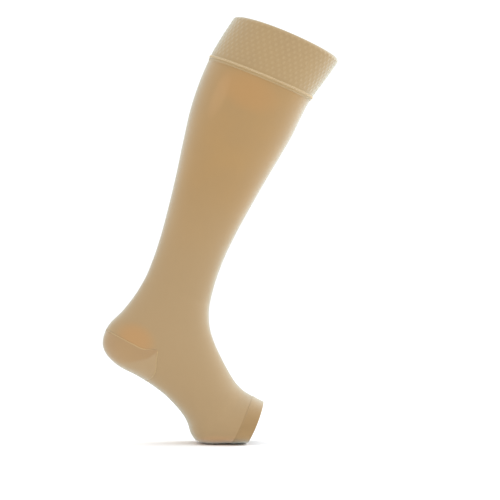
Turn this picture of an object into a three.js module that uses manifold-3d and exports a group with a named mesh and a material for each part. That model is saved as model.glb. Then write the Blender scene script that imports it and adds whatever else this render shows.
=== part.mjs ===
import * as THREE from 'three';
import { mergeVertices } from 'three/addons/utils/BufferGeometryUtils.js';
import Module from 'manifold-3d';

// Knee-high compression stocking with an open toe, filled out as it is when worn.
// Millimetres, +Z up, toes towards +X, alike on both sides of the plane y = 0.
// The origin is the middle of the top band, where the wearer's leg holds the stocking.

// Cloth thickness of each piece, and how far its outside stands out from the leg's surface
const KNIT_WALL = 1.2;
const BAND_WALL = 1.9;
const BAND_LIFT = 0.3;
const SEAM_WALL = 1.5;
const HEM_WALL = 2.1;
const HEM_LIFT = 0.4;

// Width of the doubled hem at the toe opening. At an evenness of 1 it is equally wide all round,
// and at 0 it follows the rings, which lie closer together over the foot than under it.
const HEM_WIDTH = 18.5;
const HEM_EVENNESS = 0.7;

// Width of the clear gap where two pieces meet
const SEAM_GAP = 0.3;

// The band's top edge curls in on this radius, by this turn in degrees
const CURL_RADIUS = 5;
const CURL_TURN = 75;
const CURL_STEPS = 4;

// Corners round each ring, and the longest and shortest steps from one ring to the next
const CORNERS = 36;
const RING_STEP = 12;
const SHORT_STEP = 1;

// Rings across the leg and the foot, from the top edge down to the toe opening. The back and
// front columns are a ring's two ends in the plane of symmetry, and width is its size along Y.
// backRound and frontRound are the superellipse powers of its two halves: 2 is an ellipse and
// more is squarer. widest moves its widest place towards the front, or back where negative.
const COLUMNS = [
  'place', 'backX', 'backZ', 'frontX', 'frontZ', 'width', 'backRound', 'frontRound', 'widest',
];
const ROWS = [
  ['top edge', -45, 48.1, 75.2, -3.3, 112, 2.1, 2.1, 0],
  ['band middle', -60.8, 24.2, 60.4, -24.5, 113.5, 2.1, 2.1, 0],
  ['band seam', -74.2, 1.4, 44, -46.7, 114, 2.1, 2.1, 0],
  ['upper calf', -96, -53, 17.8, -97, 108, 2.1, 2, 0],
  ['middle calf', -107, -99, -7, -139, 98, 2.1, 2, -0.05],
  ['lower calf', -115, -137, -26, -172, 88, 2.1, 2, -0.05],
  ['calf end', -123.8, -174, -44.6, -206, 78, 2, 2, -0.05],
  ['shin', -134, -212, -60.7, -240, 68, 2, 2, 0],
  ['low shin', -143.5, -240, -70.6, -268, 61, 2, 2, 0],
  ['ankle', -151.6, -259, -75.3, -287, 59, 2, 2, 0.05],
  ['heel cord', -163, -278, -76.5, -296, 62, 2, 2, 0.1],
  ['above heel', -177, -296, -76.7, -305, 65, 2.1, 2, 0.1],
  ['heel top', -195, -315, -75.9, -315, 67, 2.3, 2, 0.05],
  ['heel back', -201, -333, -73.9, -324, 67, 2.4, 2, 0],
  ['heel turn', -197, -347, -69.6, -336, 66, 2.4, 2, 0],
  ['heel under', -182, -361.5, -65, -346, 65, 2.4, 2, 0],
  ['heel front', -163.5, -371.2, -60, -356, 65, 2.4, 2, 0],
  ['arch', -147.5, -380.8, -54.2, -367, 65, 2.4, 2, 0],
  ['instep', -123.4, -399.7, -47.4, -378, 69, 2.4, 2, -0.05],
  ['before ball', -102.2, -426.8, -41.8, -385, 77, 2.5, 2, -0.1],
  ['ball start', -97.5, -440.5, -38.5, -388.2, 81, 2.7, 2, -0.15],
  ['ball', -91.5, -447.8, -35.2, -390.9, 84, 2.9, 2, -0.2],
  ['ball under', -81, -450.6, -31.2, -393.4, 87, 3, 2, -0.2],
  ['toe joints', -60, -451, -24, -397.7, 89, 3, 2.1, -0.2],
  ['toe opening', -32, -450, -12.5, -403.8, 86, 3, 2.2, -0.15],
];
const sections = ROWS.map((row) => Object.fromEntries(COLUMNS.map((name, at) => [name, row[at]])));

// The sides of the top edge stand this far above its front and back, fading out down the band
const TOP_BOW = 2.6;
const TOP_REACH = 60;

// The sides of the toe opening lie this far ahead of its top and bottom, fading out up the foot,
// and over the same reach the rings turn with the toe's edge
const TOE_BOW = 2;
const TOE_REACH = 60;

// The sewn seam under the band, from its upper edge down: a raised ridge, then a row of stitches
const SEAM_PROFILE = [
  { down: 0, lift: 0.4 },
  { down: 0.8, lift: 1.1 },
  { down: 1.7, lift: 1.1 },
  { down: 2.4, lift: 0.2 },
  { down: 4.2, lift: 0.2 },
  { down: 4.8, lift: 0.6 },
  { down: 5.4, lift: 0.2 },
];

// Lines along which the knit turns at the heel, as x and z, each from the gore's tip outwards
const GORE_TIP = [-135, -341.5];
const HEEL_UPPER_LINE = [
  GORE_TIP, [-152, -340.5], [-165, -334.5], [-178, -328], [-190, -322], [-215, -309],
];
const HEEL_FRONT_LINE = [
  GORE_TIP, [-137, -353], [-138, -365], [-142, -373], [-152, -381], [-165, -395],
];
const ANKLE_LINE = [GORE_TIP, [-104, -341], [-71, -336], [-40, -331]];
const LINE_STEPS = 20;

// Sides of a frame that lies clear of the whole stocking
const CLEAR = { left: -260, right: 120, top: 80, bottom: -480, halfWidth: 90 };

// Small steps for the surface's slopes, along the stocking and round it
const SLOPE_STEP = 0.4;
const SLOPE_TURN = 0.01;

const stations = measureStations();
const seamStart = stations[sections.findIndex(({ place }) => place === 'band seam')];
const seamHeight = SEAM_PROFILE.at(-1).down;
const toeEnd = stations.at(-1);

// Distance of each section from the first, along the middle of the stocking
function measureStations() {
  const found = [0];
  for (let row = 1; row < sections.length; row++) {
    const before = sections[row - 1];
    const here = sections[row];
    const stepX = (here.backX + here.frontX - before.backX - before.frontX) / 2;
    const stepZ = (here.backZ + here.frontZ - before.backZ - before.frontZ) / 2;
    found.push(found[row - 1] + Math.hypot(stepX, stepZ));
  }
  return found;
}

// Slope of one column at a row, from the rows on its two sides
function columnSlope(name, row) {
  const low = Math.max(row - 1, 0);
  const high = Math.min(row + 1, sections.length - 1);
  const slope = (from, to) => (sections[to][name] - sections[from][name]) / (stations[to] - stations[from]);
  if (low === row || high === row) {
    return slope(low, high);
  }
  const share = (stations[high] - stations[row]) / (stations[high] - stations[low]);
  return slope(low, row) * share + slope(row, high) * (1 - share);
}

// Value of one column at a distance s along the stocking, on a smooth curve through its rows
function columnAt(name, s) {
  let row = 0;
  while (row < sections.length - 2 && s > stations[row + 1]) {
    row++;
  }
  const span = stations[row + 1] - stations[row];
  const t = (s - stations[row]) / span;
  const t2 = t * t;
  const t3 = t2 * t;
  const start = sections[row][name] * (2 * t3 - 3 * t2 + 1);
  const end = sections[row + 1][name] * (3 * t2 - 2 * t3);
  const leave = columnSlope(name, row) * span * (t3 - 2 * t2 + t);
  const arrive = columnSlope(name, row + 1) * span * (t3 - t2);
  return start + end + leave + arrive;
}

// Point on the stocking's surface at distance s and turn angle, which is 0 at the front
function surfacePoint(s, angle) {
  const cosine = Math.cos(angle);
  const sine = Math.sin(angle);
  const power = columnAt(cosine < 0 ? 'backRound' : 'frontRound', s);
  const reach = (Math.abs(cosine) ** power + Math.abs(sine) ** power) ** (-1 / power);
  const even = cosine * reach;
  const forward = (1 + even + columnAt('widest', s) * (1 - even * even)) / 2;
  const nearToes = Math.max(0, 1 - (toeEnd - s) / TOE_REACH);
  const toeBow = TOE_BOW * (nearToes * sine) ** 2;
  const nearTop = Math.max(0, 1 - s / TOP_REACH);
  const topBow = TOP_BOW * (nearTop * sine) ** 2;
  return new THREE.Vector3(
    columnAt('backX', s) * (1 - forward) + columnAt('frontX', s) * forward + toeBow,
    (columnAt('width', s) / 2) * sine * reach,
    columnAt('backZ', s) * (1 - forward) + columnAt('frontZ', s) * forward + topBow,
  );
}

// Distance of a ring where it passes a turn angle. Near the toe the rings turn with its edge.
function ringPlace(s, angle) {
  const back = toeEnd - s;
  if (back > TOE_REACH) {
    return s;
  }
  const hemStart = surfacePoint(toeEnd - HEM_WIDTH, angle);
  const stretch = surfacePoint(toeEnd, angle).distanceTo(hemStart) / HEM_WIDTH;
  const plain = THREE.MathUtils.smoothstep(back, HEM_WIDTH, TOE_REACH);
  return toeEnd - back * (plain + (1 - plain) / stretch ** HEM_EVENNESS);
}

// Point of a ring moved out along the surface's normal
function liftedPoint(s, angle, lift) {
  const along = surfacePoint(s + SLOPE_STEP, angle).sub(surfacePoint(s - SLOPE_STEP, angle));
  const round = surfacePoint(s, angle + SLOPE_TURN).sub(surfacePoint(s, angle - SLOPE_TURN));
  const normal = along.cross(round).normalize();
  return surfacePoint(s, angle).addScaledVector(normal, lift);
}

// Distances of the rings between two places, no two further apart than a ring step anywhere round
function ringPlaces(from, to) {
  const inner = stations.filter((place) => place > from + SHORT_STEP && place < to - SHORT_STEP);
  const marks = [from, ...inner, to];
  const places = [from];
  for (let mark = 1; mark < marks.length; mark++) {
    const low = marks[mark - 1];
    const high = marks[mark];
    const backStep = surfacePoint(low, Math.PI).distanceTo(surfacePoint(high, Math.PI));
    const frontStep = surfacePoint(low, 0).distanceTo(surfacePoint(high, 0));
    const steps = Math.ceil(Math.max(backStep, frontStep) / RING_STEP);
    for (let step = 1; step <= steps; step++) {
      places.push(low + ((high - low) * step) / steps);
    }
  }
  return places;
}

// Closed tube of cloth through rings that each give the distance and lift of their two sides
function clothTube(rings) {
  const positions = [];
  for (const ring of rings) {
    for (const side of [ring.outer, ring.inner]) {
      for (let corner = 0; corner < CORNERS; corner++) {
        const angle = (2 * Math.PI * corner) / CORNERS;
        positions.push(...liftedPoint(ringPlace(side.s, angle), angle, side.lift).toArray());
      }
    }
  }
  const faces = [];
  const outer = (ring, corner) => 2 * ring * CORNERS + (corner % CORNERS);
  const inner = (ring, corner) => outer(ring, corner) + CORNERS;
  const last = rings.length - 1;
  for (let corner = 0; corner < CORNERS; corner++) {
    const next = corner + 1;
    for (let ring = 0; ring < last; ring++) {
      faces.push(outer(ring, corner), outer(ring + 1, corner), outer(ring + 1, next));
      faces.push(outer(ring, corner), outer(ring + 1, next), outer(ring, next));
      faces.push(inner(ring, corner), inner(ring + 1, next), inner(ring + 1, corner));
      faces.push(inner(ring, corner), inner(ring, next), inner(ring + 1, next));
    }
    faces.push(outer(0, corner), outer(0, next), inner(0, next));
    faces.push(outer(0, corner), inner(0, next), inner(0, corner));
    faces.push(outer(last, corner), inner(last, next), outer(last, next));
    faces.push(outer(last, corner), inner(last, corner), inner(last, next));
  }
  return meshGeometry(positions, faces);
}

function meshGeometry(positions, faces) {
  const geometry = new THREE.BufferGeometry();
  geometry.setAttribute('position', new THREE.Float32BufferAttribute(positions, 3));
  geometry.setIndex(faces);
  geometry.computeVertexNormals();
  return geometry;
}

// Rings of an even wall between two places
function evenRings(from, to, lift, wall) {
  return ringPlaces(from, to).map((s) => ({ outer: { s, lift }, inner: { s, lift: lift - wall } }));
}

// Ring of the band's curled top edge, at a turn from where the curl starts
function curlRing(turn) {
  const side = (radius) => ({
    s: CURL_RADIUS - radius * Math.sin(turn),
    lift: BAND_LIFT - CURL_RADIUS + radius * Math.cos(turn),
  });
  return { outer: side(CURL_RADIUS), inner: side(CURL_RADIUS - BAND_WALL) };
}

// Block with an outline in x and z that reaches through the whole stocking
function throughBlock(outline) {
  const shape = new THREE.Shape(outline);
  const block = new THREE.ExtrudeGeometry(shape, { depth: 2 * CLEAR.halfWidth, bevelEnabled: false });
  block.translate(0, 0, -CLEAR.halfWidth);
  block.rotateX(Math.PI / 2);
  return block;
}

function smoothLine(corners) {
  const curve = new THREE.SplineCurve(corners.map(([x, z]) => new THREE.Vector2(x, z)));
  return curve.getPoints(LINE_STEPS);
}

// Ribbon as wide as the gap along a line, which starts a little before the line's first point
function gapRibbon(line) {
  const sides = { left: [], right: [] };
  line.forEach((point, place) => {
    const ahead = line[Math.min(place + 1, line.length - 1)];
    const behind = line[Math.max(place - 1, 0)];
    const run = new THREE.Vector2().subVectors(ahead, behind).normalize();
    const across = new THREE.Vector2(-run.y, run.x).multiplyScalar(SEAM_GAP / 2);
    const base = place === 0 ? point.clone().addScaledVector(run, -SEAM_GAP) : point.clone();
    sides.left.push(base.clone().add(across));
    sides.right.unshift(base.clone().sub(across));
  });
  return [...sides.left, ...sides.right];
}

const flatPoint = (x, z) => new THREE.Vector2(x, z);

const wasm = await Module();
wasm.setup();

function toSolid(geometry) {
  const bare = geometry.clone();
  bare.deleteAttribute('normal');
  bare.deleteAttribute('uv');
  const merged = mergeVertices(bare);
  const vertProperties = new Float32Array(merged.attributes.position.array);
  const triVerts = new Uint32Array(merged.index.array);
  return new wasm.Manifold(new wasm.Mesh({ numProp: 3, vertProperties, triVerts }));
}

function fromSolid(solid) {
  const mesh = solid.getMesh();
  return meshGeometry(Array.from(mesh.vertProperties), Array.from(mesh.triVerts));
}

// The knitted tube of leg, heel and foot, parted along the lines where the heel is turned
function knitPieces() {
  const knitStart = seamStart + seamHeight + 2 * SEAM_GAP;
  const knitEnd = toeEnd - HEM_WIDTH - SEAM_GAP;
  const upper = smoothLine(HEEL_UPPER_LINE);
  const front = smoothLine(HEEL_FRONT_LINE);
  const ankle = smoothLine(ANKLE_LINE);
  const upperEnd = upper.at(-1);
  const frontEnd = front.at(-1);
  const ankleEnd = ankle.at(-1);
  let knit = toSolid(clothTube(evenRings(knitStart, knitEnd, 0, KNIT_WALL)));
  for (const line of [upper, front, ankle]) {
    knit = knit.subtract(toSolid(throughBlock(gapRibbon(line))));
  }
  const regions = {
    leg: [
      ...upper.toReversed(),
      ...ankle.slice(1),
      flatPoint(CLEAR.right, ankleEnd.y),
      flatPoint(CLEAR.right, CLEAR.top),
      flatPoint(CLEAR.left, CLEAR.top),
      flatPoint(CLEAR.left, upperEnd.y),
    ],
    heel_pocket: [
      ...upper.toReversed(),
      ...front.slice(1),
      flatPoint(CLEAR.left, frontEnd.y),
      flatPoint(CLEAR.left, upperEnd.y),
    ],
    foot: [
      ...front.toReversed(),
      ...ankle.slice(1),
      flatPoint(CLEAR.right, ankleEnd.y),
      flatPoint(CLEAR.right, CLEAR.bottom),
      flatPoint(frontEnd.x, CLEAR.bottom),
    ],
  };
  const pieces = {};
  for (const [name, outline] of Object.entries(regions)) {
    pieces[name] = fromSolid(knit.intersect(toSolid(throughBlock(outline))));
  }
  return pieces;
}

function topBand() {
  const curl = [];
  for (let step = CURL_STEPS; step > 0; step--) {
    curl.push(curlRing(THREE.MathUtils.degToRad((CURL_TURN * step) / CURL_STEPS)));
  }
  return clothTube([...curl, ...evenRings(CURL_RADIUS, seamStart, BAND_LIFT, BAND_WALL)]);
}

function bandSeam() {
  const start = seamStart + SEAM_GAP;
  const rings = SEAM_PROFILE.map(({ down, lift }) => {
    const s = start + down;
    return { outer: { s, lift }, inner: { s, lift: -SEAM_WALL } };
  });
  return clothTube(rings);
}

function toeBand() {
  return clothTube(evenRings(toeEnd - HEM_WIDTH, toeEnd, HEM_LIFT, HEM_WALL));
}

const finishes = {
  top_band: { color: 0xb9a178, roughness: 0.9 },
  band_seam: { color: 0xc6b088, roughness: 0.85 },
  leg: { color: 0xb99a6f, roughness: 0.8 },
  heel_pocket: { color: 0xb4976f, roughness: 0.9 },
  foot: { color: 0xb99a6f, roughness: 0.8 },
  toe_band: { color: 0xad9168, roughness: 0.9 },
};

const shapes = { top_band: topBand(), band_seam: bandSeam(), ...knitPieces(), toe_band: toeBand() };

const group = new THREE.Group();
for (const [name, finish] of Object.entries(finishes)) {
  const mesh = new THREE.Mesh(shapes[name], new THREE.MeshStandardMaterial({ ...finish, metalness: 0 }));
  mesh.name = name;
  group.add(mesh);
}

export default group;
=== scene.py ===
"""A knee-high compression stocking, filled out as when worn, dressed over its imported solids."""
import logging
import math
from collections.abc import Callable, Sequence
from dataclasses import dataclass, field
from enum import Enum

import bpy
import numpy as np
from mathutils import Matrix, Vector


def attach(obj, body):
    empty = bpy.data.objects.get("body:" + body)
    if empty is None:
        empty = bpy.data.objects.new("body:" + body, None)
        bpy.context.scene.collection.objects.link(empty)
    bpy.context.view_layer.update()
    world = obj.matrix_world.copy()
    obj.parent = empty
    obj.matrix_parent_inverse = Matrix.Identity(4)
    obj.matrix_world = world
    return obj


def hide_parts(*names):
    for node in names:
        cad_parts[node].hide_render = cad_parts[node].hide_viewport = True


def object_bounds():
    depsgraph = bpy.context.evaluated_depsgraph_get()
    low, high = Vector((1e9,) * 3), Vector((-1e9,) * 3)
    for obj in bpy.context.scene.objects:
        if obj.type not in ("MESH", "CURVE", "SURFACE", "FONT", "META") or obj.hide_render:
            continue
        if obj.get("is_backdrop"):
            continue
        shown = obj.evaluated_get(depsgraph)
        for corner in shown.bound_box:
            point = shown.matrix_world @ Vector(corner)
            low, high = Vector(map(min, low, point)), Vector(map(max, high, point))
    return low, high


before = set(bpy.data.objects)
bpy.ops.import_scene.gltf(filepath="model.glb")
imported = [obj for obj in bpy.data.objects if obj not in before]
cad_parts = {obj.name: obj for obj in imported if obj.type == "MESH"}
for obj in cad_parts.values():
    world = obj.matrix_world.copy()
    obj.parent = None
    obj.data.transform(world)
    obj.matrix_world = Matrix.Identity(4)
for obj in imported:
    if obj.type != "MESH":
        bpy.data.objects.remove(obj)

CAD_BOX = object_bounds()

log = logging.getLogger("stocking")

# Millimetres in metres, and the one body that every piece rides on
MM = 0.001
BODY = "root"
FULL_TURN = 2 * math.pi

Array = np.ndarray
Colour = tuple[float, float, float]
Place = tuple[float, float, float]
Piece = bpy.types.Object
Socket = bpy.types.NodeSocket

# The curve of screen colours: straight up to a limit near black, and a power above it
BLACK_LIMIT = 0.04045
BLACK_SLOPE = 12.92
CURVE_OFFSET = 0.055
CURVE_POWER = 2.4


def linear(red: int, green: int, blue: int) -> Colour:
    """Turn a screen colour into the linear one that shaders use.

    Args:
        red: Red from 0 to 255.
        green: Green from 0 to 255.
        blue: Blue from 0 to 255.

    Returns:
        The linear colour, each part from 0 to 1.
    """
    parts = (part / 255 for part in (red, green, blue))
    return tuple(
        part / BLACK_SLOPE
        if part <= BLACK_LIMIT
        else ((part + CURVE_OFFSET) / (1 + CURVE_OFFSET)) ** CURVE_POWER
        for part in parts
    )


def ease(t: Array) -> Array:
    """Soften both ends of a rise from 0 to 1."""
    return t**2 * (3 - 2 * t)


def hermite(start: Array, end: Array, leave: Array, arrive: Array, t: Array | float) -> Array:
    """Follow a smooth curve between two values.

    Args:
        start: The value at 0.
        end: The value at 1.
        leave: The slope at 0.
        arrive: The slope at 1.
        t: How far along, from 0 to 1.

    Returns:
        The value there.
    """
    return (
        start * (2 * t**3 - 3 * t**2 + 1)
        + end * (3 * t**2 - 2 * t**3)
        + leave * (t**3 - 2 * t**2 + t)
        + arrive * (t**3 - t**2)
    )


class Slot(Enum):
    """Names of material slots, passed along with the pieces but not used."""

    BAND = "band_knit"
    THREAD = "seam_thread"
    LEG = "leg_knit"
    HEEL = "heel_knit"
    HEM = "hem_knit"


class Side(Enum):
    """The two faces of a cloth wall."""

    OUTER = 0
    INNER = 1


@dataclass(frozen=True)
class FormRing:
    """One ring across the leg or foot: its two ends in the plane of symmetry, its width and its
    roundness, in millimetres. widest moves its widest place forward, or back where negative."""

    place: str
    back_x: float
    back_z: float
    front_x: float
    front_z: float
    width: float
    back_round: float
    front_round: float
    widest: float


# The rings of the solids, from the top edge down to the toe opening
FORM_RINGS = (
    FormRing("top edge", -45, 48.1, 75.2, -3.3, 112, 2.1, 2.1, 0),
    FormRing("band middle", -60.8, 24.2, 60.4, -24.5, 113.5, 2.1, 2.1, 0),
    FormRing("band seam", -74.2, 1.4, 44, -46.7, 114, 2.1, 2.1, 0),
    FormRing("upper calf", -96, -53, 17.8, -97, 108, 2.1, 2, 0),
    FormRing("middle calf", -107, -99, -7, -139, 98, 2.1, 2, -0.05),
    FormRing("lower calf", -115, -137, -26, -172, 88, 2.1, 2, -0.05),
    FormRing("calf end", -123.8, -174, -44.6, -206, 78, 2, 2, -0.05),
    FormRing("shin", -134, -212, -60.7, -240, 68, 2, 2, 0),
    FormRing("low shin", -143.5, -240, -70.6, -268, 61, 2, 2, 0),
    FormRing("ankle", -151.6, -259, -75.3, -287, 59, 2, 2, 0.05),
    FormRing("heel cord", -163, -278, -76.5, -296, 62, 2, 2, 0.1),
    FormRing("above heel", -177, -296, -76.7, -305, 65, 2.1, 2, 0.1),
    FormRing("heel top", -195, -315, -75.9, -315, 67, 2.3, 2, 0.05),
    FormRing("heel back", -201, -333, -73.9, -324, 67, 2.4, 2, 0),
    FormRing("heel turn", -197, -347, -69.6, -336, 66, 2.4, 2, 0),
    FormRing("heel under", -182, -361.5, -65, -346, 65, 2.4, 2, 0),
    FormRing("heel front", -163.5, -371.2, -60, -356, 65, 2.4, 2, 0),
    FormRing("arch", -147.5, -380.8, -54.2, -367, 65, 2.4, 2, 0),
    FormRing("instep", -123.4, -399.7, -47.4, -378, 69, 2.4, 2, -0.05),
    FormRing("before ball", -102.2, -426.8, -41.8, -385, 77, 2.5, 2, -0.1),
    FormRing("ball start", -97.5, -440.5, -38.5, -388.2, 81, 2.7, 2, -0.15),
    FormRing("ball", -91.5, -447.8, -35.2, -390.9, 84, 2.9, 2, -0.2),
    FormRing("ball under", -81, -450.6, -31.2, -393.4, 87, 3, 2, -0.2),
    FormRing("toe joints", -60, -451, -24, -397.7, 89, 3, 2.1, -0.2),
    FormRing("toe opening", -32, -450, -12.5, -403.8, 86, 3, 2.2, -0.15),
)
LENGTH_COLUMNS = ("back_x", "back_z", "front_x", "front_z", "width")
SHAPE_COLUMNS = ("back_round", "front_round", "widest")


@dataclass
class StockingForm:
    """The surface that every piece lies on. A place on it is a distance s from the top edge, in
    metres, and a turn angle, which is 0 at the front and a quarter turn on the far side."""

    rings: tuple[FormRing, ...] = FORM_RINGS
    top_bow: float = 2.6 * MM
    top_reach: float = 60 * MM
    toe_bow: float = 2 * MM
    toe_reach: float = 60 * MM
    hem_width: float = 18.5 * MM
    hem_evenness: float = 0.7
    slope_step: float = 0.4 * MM
    slope_turn: float = 0.01
    stations: Array = field(init=False)
    columns: dict[str, Array] = field(init=False, default_factory=dict)
    slopes: dict[str, Array] = field(init=False, default_factory=dict)

    def __post_init__(self) -> None:
        """Work out each ring's distance and the slope of every column there."""
        for name in LENGTH_COLUMNS + SHAPE_COLUMNS:
            unit = MM if name in LENGTH_COLUMNS else 1.0
            self.columns[name] = np.array([getattr(ring, name) for ring in self.rings], dtype=float) * unit
        middle_x = (self.columns["back_x"] + self.columns["front_x"]) / 2
        middle_z = (self.columns["back_z"] + self.columns["front_z"]) / 2
        spans = np.hypot(np.diff(middle_x), np.diff(middle_z))
        self.stations = np.concatenate(([0.0], np.cumsum(spans)))
        share = spans[1:] / (spans[1:] + spans[:-1])
        for name, values in self.columns.items():
            rises = np.diff(values) / spans
            inner = rises[:-1] * share + rises[1:] * (1 - share)
            self.slopes[name] = np.concatenate(([rises[0]], inner, [rises[-1]]))

    def station(self, place: str) -> float:
        """Distance of a named ring from the top edge."""
        return float(self.stations[[ring.place for ring in self.rings].index(place)])

    @property
    def seam_start(self) -> float:
        """Distance at which the band ends and its seam begins."""
        return self.station("band seam")

    @property
    def toe_end(self) -> float:
        """Distance of the toe opening."""
        return float(self.stations[-1])

    def column(self, name: str, s: Array) -> Array:
        """Read one column along its smooth curve.

        Args:
            name: The column's name.
            s: Distances from the top edge.

        Returns:
            The column's value at each distance.
        """
        row = np.clip(np.searchsorted(self.stations, s, side="left") - 1, 0, len(self.stations) - 2)
        span = self.stations[row + 1] - self.stations[row]
        t = (s - self.stations[row]) / span
        values, slopes = self.columns[name], self.slopes[name]
        return hermite(values[row], values[row + 1], slopes[row] * span, slopes[row + 1] * span, t)

    def point(self, s: Array | float, angle: Array | float) -> Array:
        """Find points on the surface.

        Args:
            s: Distances from the top edge.
            angle: Turn angles, of a shape that goes with s.

        Returns:
            The points, with x, y and z along the last axis.
        """
        s, angle = np.broadcast_arrays(np.asarray(s, dtype=float), np.asarray(angle, dtype=float))
        cosine, sine = np.cos(angle), np.sin(angle)
        power = np.where(cosine < 0, self.column("back_round", s), self.column("front_round", s))
        reach = (np.abs(cosine) ** power + np.abs(sine) ** power) ** (-1 / power)
        even = cosine * reach
        forward = (1 + even + self.column("widest", s) * (1 - even**2)) / 2
        near_toes = np.maximum(0, 1 - (self.toe_end - s) / self.toe_reach)
        near_top = np.maximum(0, 1 - s / self.top_reach)
        x = self.column("back_x", s) * (1 - forward) + self.column("front_x", s) * forward
        z = self.column("back_z", s) * (1 - forward) + self.column("front_z", s) * forward
        x = x + self.toe_bow * (near_toes * sine) ** 2
        z = z + self.top_bow * (near_top * sine) ** 2
        return np.stack((x, self.column("width", s) / 2 * sine * reach, z), axis=-1)

    def ring_place(self, s: Array | float, angle: Array) -> Array:
        """Find where rings pass turn angles. Near the toe they turn with its edge.

        Args:
            s: Distances of the rings.
            angle: Turn angles, of a shape that goes with s.

        Returns:
            A distance for each ring and angle.
        """
        s, angle = np.broadcast_arrays(np.asarray(s, dtype=float), np.asarray(angle, dtype=float))
        back = self.toe_end - s
        hem = self.point(self.toe_end, angle) - self.point(self.toe_end - self.hem_width, angle)
        stretch = np.linalg.norm(hem, axis=-1) / self.hem_width
        plain = ease(np.clip((back - self.hem_width) / (self.toe_reach - self.hem_width), 0, 1))
        turned = self.toe_end - back * (plain + (1 - plain) / stretch**self.hem_evenness)
        return np.where(back > self.toe_reach, s, turned)

    def normal(self, s: Array, angle: Array) -> Array:
        """Find the surface's outward directions.

        Args:
            s: Distances from the top edge.
            angle: Turn angles, of a shape that goes with s.

        Returns:
            Unit vectors, with x, y and z along the last axis.
        """
        along = self.point(s + self.slope_step, angle) - self.point(s - self.slope_step, angle)
        around = self.point(s, angle + self.slope_turn) - self.point(s, angle - self.slope_turn)
        normal = np.cross(along, around)
        return normal / np.linalg.norm(normal, axis=-1, keepdims=True)

    def lifted(self, s: Array, angle: Array, lift: Array | float) -> Array:
        """Find points moved out from the surface, or in where the lift is negative."""
        s, angle, lift = np.broadcast_arrays(s, angle, lift)
        return self.point(s, angle) + self.normal(s, angle) * lift[..., None]


class MeshDraft:
    """Points, faces and knit coordinates gathered before they become one mesh."""

    def __init__(self) -> None:
        """Start with nothing gathered."""
        self.points: list[Array] = []
        self.point_count = 0
        self.faces: list[list[int]] = []
        self.knit: list[tuple[float, float]] = []
        self.relief: list[Array] = []

    def add_points(self, points: Array, relief: Array | float = 0.0) -> Array:
        """Gather points.

        Args:
            points: Points with x, y and z along the last axis.
            relief: A mark from 0 to 1 for the colours: how raised each point is on the band, and where a
                tone, painted shade or painted sheen goes on other pieces.

        Returns:
            The points' numbers, in the same arrangement.
        """
        flat = points.reshape(-1, 3)
        numbers = np.arange(self.point_count, self.point_count + len(flat)).reshape(points.shape[:-1])
        self.points.append(flat)
        self.relief.append(np.broadcast_to(relief, points.shape[:-1]).reshape(-1))
        self.point_count += len(flat)
        return numbers

    def add_grid(self, numbers: Array, wale: Array, course: Array, side: Side) -> None:
        """Join a grid of points into faces. A face with a repeated point loses it.

        Args:
            numbers: The points' numbers, row by row.
            wale: Knit coordinate across each column.
            course: Knit coordinate of each point, or of each row.
            side: The face of the cloth, which says which way the faces turn.
        """
        layers = (numbers, np.broadcast_to(wale, numbers.shape), np.broadcast_to(course, numbers.shape))
        corners = ((0, 0), (1, 0), (1, 1), (0, 1))[:: 1 if side is Side.OUTER else -1]
        rows, columns = numbers.shape
        spread = [
            layer[down : rows - 1 + down, right : columns - 1 + right].reshape(-1)
            for layer in layers
            for down, right in corners
        ]
        for values in np.stack(spread, axis=-1).tolist():
            corner_numbers = [int(value) for value in values[:4]]
            kept = [at for at, number in enumerate(corner_numbers) if number not in corner_numbers[:at]]
            if len(kept) > 2:
                self.faces.append([corner_numbers[at] for at in kept])
                self.knit.extend((values[4 + at], values[8 + at]) for at in kept)

    def build(self, name: str, material: bpy.types.Material) -> Piece:
        """Make the mesh object.

        Args:
            name: The piece's name.
            material: Its finish.

        Returns:
            The new object, linked to the scene.
        """
        mesh = bpy.data.meshes.new(name)
        mesh.from_pydata(np.concatenate(self.points).tolist(), [], self.faces)
        layer = mesh.uv_layers.new(name="Knit")
        layer.data.foreach_set("uv", np.array(self.knit, dtype=np.float32).reshape(-1))
        relief = mesh.attributes.new("relief", "FLOAT", "POINT")
        relief.data.foreach_set("value", np.concatenate(self.relief).astype(np.float32))
        mesh.shade_smooth()
        mesh.materials.append(material)
        mesh.validate()
        mesh.update()
        return link(name, mesh)


def link(name: str, data: bpy.types.ID) -> Piece:
    """Make an object of a mesh, lamp or lens and link it to the scene.

    Args:
        name: The object's name.
        data: The mesh, lamp or lens.

    Returns:
        The new object.
    """
    made = bpy.data.objects.new(name, data)
    bpy.context.scene.collection.objects.link(made)
    return made


def dress(piece: Piece, slot: Slot, *nodes: str) -> Piece:
    """Make a piece ride on the body and hide the solids that it replaces.

    Args:
        piece: The piece.
        slot: Not used.
        *nodes: The solids that it replaces, if any.

    Returns:
        The same piece.
    """
    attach(piece, BODY)
    if nodes:
        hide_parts(*nodes)
    return piece


@dataclass(frozen=True)
class Cut:
    """A cloth's flat size before it is stretched, and its flat area where it isn't a rectangle."""

    width: float
    length: float
    area: float | None = None

    def declare(self, cloth: Piece, parts: Sequence[Piece] = ()) -> None:
        """Take a cloth and the separate pieces on it, and do nothing with them."""


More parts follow.
